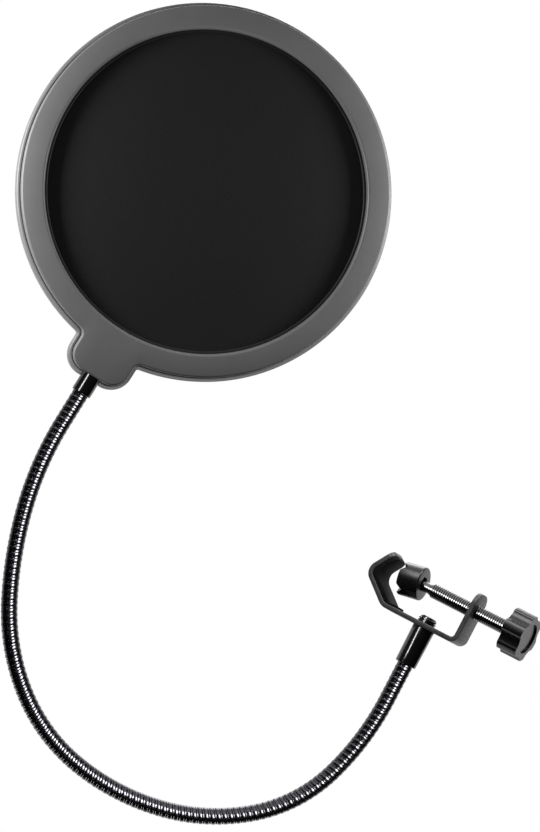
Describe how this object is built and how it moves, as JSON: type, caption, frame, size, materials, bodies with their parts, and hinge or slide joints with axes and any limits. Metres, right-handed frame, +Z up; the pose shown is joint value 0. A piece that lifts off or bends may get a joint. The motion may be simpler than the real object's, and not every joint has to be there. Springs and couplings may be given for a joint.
{
  "type": "microphone pop filter",
  "caption": "Round double-mesh pop filter in a two-part frame, on a curved gooseneck that ends in a vee-jaw screw clamp for a stand tube.",
  "frame": {"origin": "on the axis of a 25 mm stand tube seated against the jaw liner, midway across the clamp strip", "axes": "+Z up, the shield faces -Y, +X to the right as seen from the shield's front; the neck lies in a plane parallel to XZ"},
  "size_m": [0.2168, 0.0542, 0.3312],
  "materials": {
    "frame_grey": "satin moulded dark grey ABS",
    "hoop_black": "matt black plastic",
    "mesh_nylon": "fine black nylon mesh",
    "neck_wire": "black chromed interlocked wire",
    "ferrule_gloss": "gloss black",
    "zinc_steel": "zinc plated",
    "screw_steel": "black nickel plated",
    "bracket_steel": "satin dark grey powder coat",
    "liner_rubber": "matt black rubber",
    "knob_black": "satin black nylon"
  },
  "bodies": {
    "clamp": {"bracket": "bracket_steel", "jaw_liner": "liner_rubber"},
    "neck_base": {"stud": "zinc_steel", "lower_ferrule": "ferrule_gloss", "neck_01": "neck_wire"},
    "neck_link_2": {"neck_02": "neck_wire"},
    "neck_link_3": {"neck_03": "neck_wire"},
    "neck_link_4": {"neck_04": "neck_wire"},
    "neck_link_5": {"neck_05": "neck_wire"},
    "neck_link_6": {"neck_06": "neck_wire"},
    "neck_link_7": {"neck_07": "neck_wire"},
    "neck_link_8": {"neck_08": "neck_wire"},
    "neck_link_9": {"neck_09": "neck_wire"},
    "shield": {"neck_10": "neck_wire", "upper_ferrule": "ferrule_gloss", "tab_screws": "zinc_steel", "front_frame": "frame_grey", "rear_frame": "frame_grey", "front_hoop": "hoop_black", "spacer_hoop": "hoop_black", "rear_hoop": "hoop_black", "front_mesh": "mesh_nylon", "rear_mesh": "mesh_nylon"},
    "screw_tip": {"retaining_ring": "zinc_steel"},
    "screw": {"clamp_screw": "screw_steel", "knob": "knob_black"},
    "pad": {"pressure_pad": "knob_black"}
  },
  "joints": [
    {"name": "neck_swivel", "type": "hinge", "parent": "clamp", "child": "neck_base", "pos_m": [0.001, -0.00596, -0.01695], "axis": [0.4695, 0, 0.8829], "range_deg": [-90, 90]},
    {"name": "bend_1", "type": "hinge", "parent": "neck_base", "child": "neck_link_2", "pos_m": [-0.01402, -0.00596, -0.0452], "axis": [0, 1, 0], "range_deg": [-36, 6]},
    {"name": "bend_2", "type": "hinge", "parent": "neck_link_2", "child": "neck_link_3", "pos_m": [-0.03675, -0.00596, -0.07482], "axis": [0.682, 0, -0.7314], "range_deg": [-24, 24]},
    {"name": "bend_3", "type": "hinge", "parent": "neck_link_3", "child": "neck_link_4", "pos_m": [-0.07001, -0.00596, -0.09086], "axis": [0, 1, 0], "range_deg": [-36, 6]},
    {"name": "bend_4", "type": "hinge", "parent": "neck_link_4", "child": "neck_link_5", "pos_m": [-0.10708, -0.00596, -0.08794], "axis": [-0.3007, 0, -0.9537], "range_deg": [-24, 24]},
    {"name": "bend_5", "type": "hinge", "parent": "neck_link_5", "child": "neck_link_6", "pos_m": [-0.13983, -0.00596, -0.07016], "axis": [0, 1, 0], "range_deg": [-36, 6]},
    {"name": "bend_6", "type": "hinge", "parent": "neck_link_6", "child": "neck_link_7", "pos_m": [-0.16164, -0.00596, -0.04015], "axis": [-0.9304, 0, -0.3665], "range_deg": [-24, 24]},
    {"name": "bend_7", "type": "hinge", "parent": "neck_link_7", "child": "neck_link_8", "pos_m": [-0.16762, -0.00596, -0.00342], "axis": [0, 1, 0], "range_deg": [-36, 6]},
    {"name": "bend_8", "type": "hinge", "parent": "neck_link_8", "child": "neck_link_9", "pos_m": [-0.16145, -0.00596, 0.03349], "axis": [-0.9613, 0, 0.2756], "range_deg": [-24, 24]},
    {"name": "bend_9", "type": "hinge", "parent": "neck_link_9", "child": "shield", "pos_m": [-0.14624, -0.00596, 0.06764], "axis": [0, 1, 0], "range_deg": [-36, 6]},
    {"name": "screw_travel", "type": "slide", "parent": "clamp", "child": "screw_tip", "axis": [0.732, -0.5592, -0.3892], "range_m": [-0.0015, 0.019]},
    {"name": "screw_turn", "type": "hinge", "parent": "screw_tip", "child": "screw", "pos_m": [0.0209, -0.01564, -0.01008], "axis": [0.732, -0.5592, -0.3892], "range_deg": [-540, 6840]},
    {"name": "pad_rock", "type": "hinge", "parent": "screw_tip", "child": "pad", "pos_m": [-0.00077, 0.00092, 0.00144], "axis": [0.4937, 0.829, -0.2625], "range_deg": [0, 19]}
  ],
  "couplings": [
    {"joint": "screw_turn", "follows": "screw_travel", "rad_per_m": 6283.2}
  ]
}
